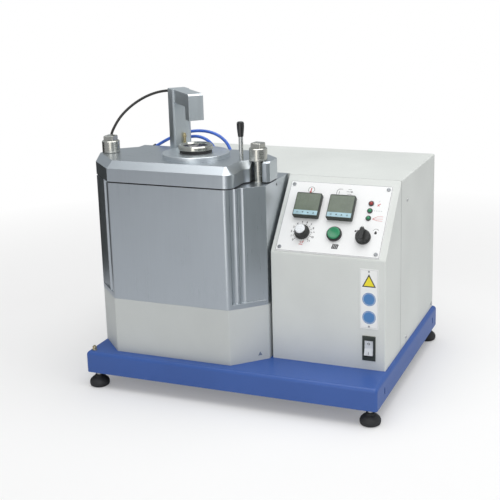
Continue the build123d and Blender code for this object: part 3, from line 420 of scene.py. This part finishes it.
node_looks = {
    "base_tray": "blue", "foot_pad_front_left": "rubber", "foot_pad_front_right": "rubber",
    "foot_pad_rear_left": "rubber", "foot_pad_rear_right": "rubber", "foot_studs": "steel",
    "earth_bolt": "brass", "pedestal_skirt": "grey", "chamber_body": "alu", "lid_gasket": "rubber",
    "clamp_studs": "nut_right", "furnace_muffle": "refractory", "crucible": "graphite",
    "console_shell": "pale", "control_plate": "plate", "plate_screws": "screw",
    "controller_left_housing": "olive", "controller_left_window": "window",
    "controller_left_keypad": "keys", "controller_right_housing": "olive",
    "controller_right_window": "window", "controller_right_keypad": "keys", "potentiometer": "plastic",
    "start_button_bezel": "plastic", "selector_bezel": "plastic", "led_bezels": "gloss",
    "led_red": "red", "led_green_upper": "green", "led_green_lower": "green", "label_plate": "label",
    "label_rivets": "screw", "rocker_bezel": "olive", "rear_cover": "pale", "cover_screws": "steel",
    "mains_inlet": "plastic", "vacuum_pump": "iron", "lid": "alu", "flange_disc": "disc",
    "window_gasket": "rubber", "window_ring": "ring", "window_glass": "glass",
    "bleed_nipple": "brass", "sensor_arm": "alu_arm", "temperature_sensor": "plastic",
    "sensor_cable": "cable", "cable_glands": "plastic", "air_hose_outer": "hose",
    "air_hose_inner": "hose", "hose_fittings": "plastic", "handle_rod": "rod", "handle_grip": "gloss",
    "clamp_washer_left": "nut_left", "clamp_washer_right": "nut_right",
    "clamp_nut_left": "nut_left", "clamp_nut_right": "nut_right", "start_button": "green",
    "selector_knob": "plastic", "power_knob": "plastic", "power_knob_cap": "silver",
    "rocker_paddle": "paddle",
}
for name, look in node_looks.items():
    for s in nodes[name].material_slots:
        s.material = looks[look]


# ---------------------------------------------------------------- cable and hoses
def arm_point(x, z):
    """A point on the arm's centre plane, x mm along its heading from the window axis."""
    r = math.sqrt(0.5)
    return (AXIS[0] + x * r, AXIS[1] - x * r, z)


CABLE_POINTS = [
    arm_point(-108.5, 543.0), arm_point(-125.5, 543.0), (89.5, 203.5, 542.0), (72.5, 201.5, 539.0),
    (56.5, 193.5, 533.5), (42.0, 181.5, 525.0), (29.0, 165.5, 513.0), (18.0, 149.0, 497.5),
    (10.5, 134.5, 478.0), (7.0, 126.0, 462.0), (7.0, 126.0, 446.0),
]
OUTER_HOSE_POINTS = [
    (64.5, 200.0, 433.0), (82.0, 200.3, 443.5), (101.0, 200.8, 452.8), (120.0, 201.4, 460.0),
    (140.0, 202.0, 465.0), (160.0, 202.0, 467.2), (180.0, 201.6, 465.8), (198.0, 201.0, 460.3),
    (211.5, 200.5, 451.0), (220.0, 200.2, 440.0), (224.5, 200.0, 427.5),
]
INNER_HOSE_POINTS = [
    (107.0, 200.0, 427.5), (115.5, 199.0, 439.0), (127.0, 197.5, 449.0), (141.0, 196.5, 455.6),
    (156.0, 196.0, 457.2), (170.5, 196.5, 454.0), (182.0, 197.5, 446.5), (190.0, 199.0, 436.0),
    (194.0, 200.0, 423.5),
]


def make_cord(name, points, diameter, look):
    curve = bpy.data.curves.new(name, "CURVE")
    curve.dimensions = "3D"
    curve.bevel_depth = diameter / 2
    curve.bevel_resolution = 6
    curve.resolution_u = 16
    curve.use_fill_caps = True
    spline = curve.splines.new("NURBS")
    spline.points.add(len(points) - 1)
    for p, q in zip(spline.points, points):
        p.co = (*at(*q), 1.0)
    spline.order_u = 3
    spline.use_endpoint_u = True
    curve.materials.append(looks[look])
    obj = bpy.data.objects.new(name, curve)
    scene.collection.objects.link(obj)
    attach(obj, "lid")
    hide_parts(name.replace("_line", ""))


make_cord("sensor_cable_line", CABLE_POINTS, 0.005, "cable")
make_cord("air_hose_outer_line", OUTER_HOSE_POINTS, 0.006, "hose")
make_cord("air_hose_inner_line", INNER_HOSE_POINTS, 0.006, "hose")


# ---------------------------------------------------------------- printed marks
INK_LIFT = 0.06
PLATE_LINE = [(9.2, 4.2), (200.8, 4.2), (200.8, 144.8), (9.2, 144.8)]
DIAL_STEPS = 11
DIAL_START = 225.0
DIAL_SWEEP = 270.0
TICK_INNER = 15.4
TICK_LONG = 18.4
TICK_SHORT = 17.0
DIAL_NUMBER_R = 21.4
DIAL_NUMBER_SIZE = 5.4
KEY_ROW_S = CTRL_S - 16.7
KEY_TOP = CTRL_PROUD + 0.15
DISPLAY_TOP = CTRL_PROUD - 0.2
LABEL_T = 1.0


def bar(x, y, w, h, angle=0.0):
    """A rectangle of w by h about (x, y), turned by an angle in degrees."""
    c = math.cos(math.radians(angle))
    t = math.sin(math.radians(angle))
    corners = ((-w / 2, -h / 2), (w / 2, -h / 2), (w / 2, h / 2), (-w / 2, h / 2))
    return [(x + u * c - v * t, y + u * t + v * c) for u, v in corners]


def disc(x, y, r, n=40):
    return [(x + r * math.cos(i * math.tau / n), y + r * math.sin(i * math.tau / n)) for i in range(n)]


def ring(x, y, r, width, n=40):
    """A circle line, as short four-sided pieces."""
    outer = disc(x, y, r, n)
    inner = disc(x, y, r - width, n)
    return [[outer[i - 1], outer[i], inner[i], inner[i - 1]] for i in range(n)]


def stroke(points, width):
    """A line of one width along (x, y) points, as one rectangle for each run."""
    runs = []
    for (x0, y0), (x1, y1) in zip(points, points[1:]):
        length = math.hypot(x1 - x0, y1 - y0) + width * 0.5
        runs.append(bar((x0 + x1) / 2, (y0 + y1) / 2, length, width,
                        math.degrees(math.atan2(y1 - y0, x1 - x0))))
    return runs


def figure_eight(x, y, w, h, width):
    """All seven bars of one display digit."""
    across = [bar(x, y + k * h / 2, w - width * 1.6, width) for k in (-1, 0, 1)]
    upright = [bar(x + i * w / 2, y + k * h / 4, width, h / 2 - width * 1.3)
               for i in (-1, 1) for k in (-1, 1)]
    return across + upright


def mark(name, outlines, matrix, look, body="machine"):
    """One printed mark: flat outlines in mm on a face, laid just above it."""
    bm = bmesh.new()
    for outline in outlines:
        bm.faces.new([bm.verts.new(matrix @ Vector((x, y, 0))) for x, y in outline])
    bmesh.ops.recalc_face_normals(bm, faces=bm.faces)
    mesh = bpy.data.meshes.new(name)
    bm.to_mesh(mesh)
    bm.free()
    mesh.materials.append(looks[look])
    obj = bpy.data.objects.new(name, mesh)
    scene.collection.objects.link(obj)
    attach(obj, body)


def number(name, text, matrix):
    """A printed number for the dial."""
    curve = bpy.data.curves.new(name, "FONT")
    curve.body = text
    curve.size = DIAL_NUMBER_SIZE
    curve.offset = 0.14
    curve.align_x = "CENTER"
    curve.align_y = "CENTER"
    curve.materials.append(looks["black_ink"])
    obj = bpy.data.objects.new(name, curve)
    scene.collection.objects.link(obj)
    obj.matrix_world = matrix
    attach(obj, "machine")


def make_dial_scale():
    top = PLATE_T + INK_LIFT
    ticks = []
    for i in range(2 * DIAL_STEPS + 1):
        angle = DIAL_START - i * DIAL_SWEEP / (2 * DIAL_STEPS)
        major = i % 2 == 0
        outer = TICK_LONG if major else TICK_SHORT
        c = math.cos(math.radians(angle))
        t = math.sin(math.radians(angle))
        middle = (TICK_INNER + outer) / 2
        width = 1.0 if major else 0.6
        ticks.append(bar(c * middle, t * middle, outer - TICK_INNER, width, angle))
        if major:
            place = slope_matrix(POT_X + DIAL_NUMBER_R * c, ROW_S + DIAL_NUMBER_R * t, top)
            number("dial_number_%d" % (i // 2), str(i // 2), place)
    mark("dial_ticks", ticks, slope_matrix(POT_X, ROW_S, top), "black_ink")
    red = [bar(4.6, -17.6, 1.6, 4.6, -20), bar(0.6, -18.6, 3.4, 1.2), bar(1.4, -22.6, 7.0, 1.5)]
    mark("dial_red_mark", red, slope_matrix(POT_X, ROW_S, top), "red_ink")


def make_panel_marks():
    plate = slope_matrix(0.0, 0.0, PLATE_T + INK_LIFT)
    frame_line = stroke(PLATE_LINE + PLATE_LINE[:1], 0.6)
    mark("plate_line", frame_line, plate, "line_ink")
    mark("heat_ring", ring(50.7, 128.9, 6.2, 0.7), plate, "black_ink")
    heat = [bar(50.2, 127.9, 1.9, 9.0, -6), disc(49.9, 123.9, 1.9, 20)]
    mark("heat_bar", heat, plate, "red_ink")
    bracket = stroke([(99.6, 122.6), (99.6, 130.4), (103.0, 134.0), (109.6, 134.0)], 0.8)
    bracket += stroke([(104.2, 122.6), (104.2, 129.6)], 0.7)
    arrow = stroke([(118.0, 129.4), (127.4, 129.4)], 0.7)
    arrow += [[(126.6, 131.2), (130.2, 129.4), (126.6, 127.6)]]
    arrow += stroke([(119.4, 124.4), (127.6, 124.4)], 0.6)
    arrow += stroke([(120.4, 134.2), (126.6, 134.2)], 0.6)
    mark("probe_marks", bracket + arrow, plate, "black_ink")
    red = stroke([(180.4, 104.6), (184.6, 109.0)], 1.5) + stroke([(180.0, 108.0), (183.6, 104.2)], 0.9)
    red += stroke([(176.0, 79.2), (184.0, 83.6), (194.0, 84.2)], 0.7)
    red += stroke([(176.0, 78.6), (194.0, 79.8)], 0.7)
    red += stroke([(176.0, 78.0), (184.0, 75.8), (194.0, 75.4)], 0.7)
    mark("lamp_marks_red", red, plate, "red_ink")
    grey = [bar(x, 94.8, 2.2, 0.9) for x in (176.4, 180.6, 184.8, 189.0)]
    grey += stroke([(181.0, 112.6), (183.4, 115.2)], 0.6)
    mark("lamp_marks_grey", grey, plate, "grey_ink")
    start = [bar(x, 19.2, 2.3, 8.0, -14) for x in (113.6, 116.6, 119.6, 122.6)]
    start += [bar(118.1, 15.0, 11.4, 0.9), bar(118.1, 23.4, 11.4, 0.9)]
    mark("start_mark", start, plate, "black_ink")
    left = [disc(149.6, 52.4, 1.9, 24)] + stroke([(151.2, 53.2), (153.4, 54.6)], 0.8)
    middle = ring(160.4, 60.4, 2.9, 0.8, 28) + stroke([(160.4, 57.6), (160.4, 54.6)], 0.8)
    drop = [disc(186.4, 51.4, 2.4, 28), [(184.4, 52.6), (188.4, 52.6), (186.4, 56.4)]]
    arc = [(186.4 + 5.2 * math.cos(a), 54.2 + 5.2 * math.sin(a))
           for a in (0.5, 0.8, 1.1, 1.4, 1.7, 2.0, 2.3, 2.6, 2.9)]
    mark("selector_marks", left + middle + drop + stroke(arc, 0.6), plate, "black_ink")


def make_controller_marks():
    for side, x in zip(("left", "right"), CTRL_XS):
        keys = slope_matrix(x, KEY_ROW_S, KEY_TOP + INK_LIFT)
        icons = ring(-15.3, 0, 1.5, 0.6, 20)
        icons += [[(-6.9, 1.2), (-5.1, -1.3), (-3.3, 1.2)], [(3.3, -1.2), (5.1, 1.3), (6.9, -1.2)]]
        icons += [bar(15.3, 0, 1.0, 2.6), bar(15.3, -1.3, 2.6, 0.7)]
        mark("key_icons_" + side, icons, keys, "black_ink")
        display = slope_matrix(x, CTRL_S, DISPLAY_TOP + INK_LIFT)
        digits = []
        for i in range(4):
            digits += figure_eight((i - 1.5) * 10.0, 13.0, 5.6, 10.6, 1.0)
            digits += figure_eight((i - 1.5) * 8.4, -1.6, 4.2, 7.6, 0.8)
        mark("unlit_digits_" + side, digits, display, "ghost_ink")


def make_label_marks():
    face = front_matrix(LABEL_X, FRONT_Y - LABEL_T - INK_LIFT, 0.0)
    above = front_matrix(LABEL_X, FRONT_Y - LABEL_T - 2 * INK_LIFT, 0.0)
    border = [[(-12.6, 226.0), (12.6, 226.0), (0.0, 250.0)]]
    field = [[(-9.4, 228.0), (9.4, 228.0), (0.0, 245.8)]]
    mark("warning_border", border, face, "black_ink")
    mark("warning_field", field, above, "yellow_ink")
    for name, z in (("upper", 203.6), ("lower", 170.2)):
        mark("notice_disc_" + name, [disc(0, z, 12.2, 64)], face, "blue_ink")
        mark("notice_ring_" + name, ring(0, z, 10.8, 0.5, 64), above, "white_ink")
    outline = [(-15.2, 151.0), (15.2, 151.0), (15.2, 257.0), (-15.2, 257.0), (-15.2, 151.0)]
    edge = stroke(outline, 0.3)
    mark("label_border", edge, face, "grey_ink")


def paddle_matrix(half):
    """Frame on the upper (1) or lower (-1) half of the rocker's hollowed face, in mm."""
    tilt = Matrix.Rotation(math.radians(ROCKER_TILT), 4, "X")
    lean = Matrix.Rotation(math.radians(half * PADDLE_LEAN), 4, "X")
    face = Matrix(((1, 0, 0), (0, 0, -1), (0, 1, 0))).to_4x4()
    return (Matrix.Translation(at(*ROCKER_PIN)) @ tilt @ Matrix.Scale(0.001, 4)
            @ Matrix.Translation((0, -PADDLE_DIP, 0)) @ lean @ face
            @ Matrix.Translation((0, 0, INK_LIFT)))


def make_rocker_marks():
    off = ring(0, 8.0, 2.4, 0.9, 32)
    on = [bar(0, -9.4, 0.9, 4.6)]
    mark("rocker_off_mark", off, paddle_matrix(1), "black_ink", "rocker")
    mark("rocker_on_mark", on, paddle_matrix(-1), "black_ink", "rocker")


def make_seam_shade():
    """Painted shade along the joint between the console and the rear cover, up the side and across the
    top.
    """
    side = Matrix(((0, 0, 1), (1, 0, 0), (0, 1, 0))).to_4x4()
    beside = Matrix.Translation(at(CONSOLE_X1 + INK_LIFT, 0.0, 0.0)) @ side @ Matrix.Scale(0.001, 4)
    above = Matrix.Translation(at(0.0, 0.0, SLOPE_TOP[1] + INK_LIFT)) @ Matrix.Scale(0.001, 4)
    height = SLOPE_TOP[1] - TRAY_TOP
    upright = [bar(SLOPE_TOP[0], TRAY_TOP + height / 2, SEAM_W, height)]
    middle = (CONSOLE_X0 + CONSOLE_X1) / 2
    across = [bar(middle, SLOPE_TOP[0] + SEAM_W, CONSOLE_X1 - CONSOLE_X0, SEAM_W / 2)]
    # The black strip up the side and the grey strip across the top are painted shade for the gap at
    # the joint.
    mark("cover_seam_shade_side", upright, beside, "black_ink")
    mark("cover_seam_shade_top", across, above, "grey_ink")


def make_pedestal_mark():
    """Small plain triangle low on the right bevelled face of the pedestal."""
    run = math.sqrt(0.5)
    corner = at(289.0 + INK_LIFT, 21.0 - INK_LIFT, 0.0)
    turn = Matrix(((run, 0, run), (run, 0, -run), (0, 1, 0))).to_4x4()
    face = Matrix.Translation(corner) @ turn @ Matrix.Scale(0.001, 4)
    triangle = [(55.0, 81.0), (63.4, 81.0), (59.2, 88.6)]
    mark("pedestal_triangle", [triangle], face, "slate_ink")


make_dial_scale()
make_panel_marks()
make_controller_marks()
make_label_marks()
make_rocker_marks()
make_seam_shade()
make_pedestal_mark()


# ---------------------------------------------------------------- floor, light, world
AMBIENT = (0.44, 0.44, 0.44)
GLOSSY_WORLD = (0.42, 0.45, 0.47)
GLOSSY_FLOOR = (0.62, 0.64, 0.67)
FLOOR_HALF = 12.0
FLOOR_FADE = (0.70, 1.6)
FLOOR_GLOW = 0.22


def plane_mesh(name, corners):
    mesh = bpy.data.meshes.new(name)
    mesh.from_pydata(corners, [], [(0, 1, 2, 3)])
    obj = bpy.data.objects.new(name, mesh)
    scene.collection.objects.link(obj)
    return obj


def make_floor():
    """White paper that fades into the white background away from the object."""
    floor = plane_mesh("floor", [(-FLOOR_HALF, -FLOOR_HALF, 0), (FLOOR_HALF, -FLOOR_HALF, 0),
                                 (FLOOR_HALF, FLOOR_HALF, 0), (-FLOOR_HALF, FLOOR_HALF, 0)])
    m, tree, shader = new_material("floor_paper")
    position = object_coords(tree, (1.0, 1.0, 1.0))
    cloud = noise(tree, position, 2.0, 2.0, 0.5)
    rays = tree.nodes.new("ShaderNodeLightPath")
    paper = mix_colour(tree, cloud, (0.90, 0.90, 0.90), (0.93, 0.93, 0.93))
    paper = mix_colour(tree, rays.outputs["Is Glossy Ray"], paper, GLOSSY_FLOOR)
    link(tree, paper, shader.inputs["Base Color"])
    shader.inputs["Roughness"].default_value = 0.9
    shader.inputs["Specular IOR Level"].default_value = 0.0
    distance = tree.nodes.new("ShaderNodeVectorMath")
    distance.operation = "LENGTH"
    link(tree, position, distance.inputs[0])
    far = ranged(tree, distance.outputs["Value"], *FLOOR_FADE, FLOOR_GLOW, 1.0)
    glow = tree.nodes.new("ShaderNodeEmission")
    glow.inputs["Color"].default_value = (1.0, 1.0, 1.0, 1.0)
    blend = tree.nodes.new("ShaderNodeMixShader")
    link(tree, math_node(tree, "MULTIPLY", far, rays.outputs["Is Camera Ray"]), blend.inputs[0])
    link(tree, shader.outputs[0], blend.inputs[1])
    link(tree, glow.outputs[0], blend.inputs[2])
    link(tree, blend.outputs[0], tree.nodes["Material Output"].inputs["Surface"])
    floor.data.materials.append(m)


def reflector(name, foot_a, foot_b, height, colour, strength):
    """An upright studio card on the line foot_a to foot_b, which only shows in reflections."""
    card = plane_mesh(name, [(*foot_a, 0.0), (*foot_b, 0.0), (*foot_b, height), (*foot_a, height)])
    m = bpy.data.materials.new(name)
    m.use_nodes = True
    tree = m.node_tree
    glow = tree.nodes.new("ShaderNodeEmission")
    glow.inputs["Color"].default_value = (*colour, 1.0)
    glow.inputs["Strength"].default_value = strength
    link(tree, glow.outputs[0], tree.nodes["Material Output"].inputs["Surface"])
    card.data.materials.append(m)
    card.visible_camera = False
    card.visible_diffuse = False
    card.visible_shadow = False
    card.visible_transmission = False


def soft_light(name, place, target, size, power):
    data = bpy.data.lights.new(name, "AREA")
    data.shape = "RECTANGLE"
    data.size, data.size_y = size
    data.energy = power
    obj = bpy.data.objects.new(name, data)
    scene.collection.objects.link(obj)
    aim = Vector(target) - Vector(place)
    obj.matrix_world = Matrix.Translation(place) @ aim.to_track_quat("-Z", "Y").to_matrix().to_4x4()


def make_world():
    """White behind the object, a softer grey for what it lights and what it reflects."""
    world = bpy.data.worlds.new("studio")
    scene.world = world
    world.use_nodes = True
    tree = world.node_tree
    rays = tree.nodes.new("ShaderNodeLightPath")
    grey = mix_colour(tree, rays.outputs["Is Glossy Ray"], AMBIENT, GLOSSY_WORLD)
    shown = mix_colour(tree, rays.outputs["Is Camera Ray"], grey, (1.0, 1.0, 1.0))
    link(tree, shown, tree.nodes["Background"].inputs["Color"])
    tree.nodes["Background"].inputs["Strength"].default_value = 1.0


make_floor()
make_world()
reflector("dark_card_left", (-0.85, -0.35), (-0.85, 0.85), 0.45, (0.03, 0.032, 0.03), 1.0)
reflector("grey_card_right", (0.60, -0.95), (0.60, -0.05), 0.36, (0.20, 0.225, 0.225), 1.0)
reflector("bright_strip_front", (-0.14, -1.05), (0.17, -1.05), 0.62, (1.0, 1.0, 0.98), 1.8)
soft_light("top_softbox", (0.3, -0.2, 2.6), (0.0, 0.0, 0.2), (2.6, 2.6), 46.0)
soft_light("front_softbox", (0.7, -2.7, 1.5), (0.0, 0.0, 0.2), (1.8, 1.4), 11.0)
soft_light("right_softbox", (2.6, -0.6, 1.3), (0.2, 0.0, 0.2), (1.4, 1.4), 7.5)
scene.view_settings.view_transform = "Standard"
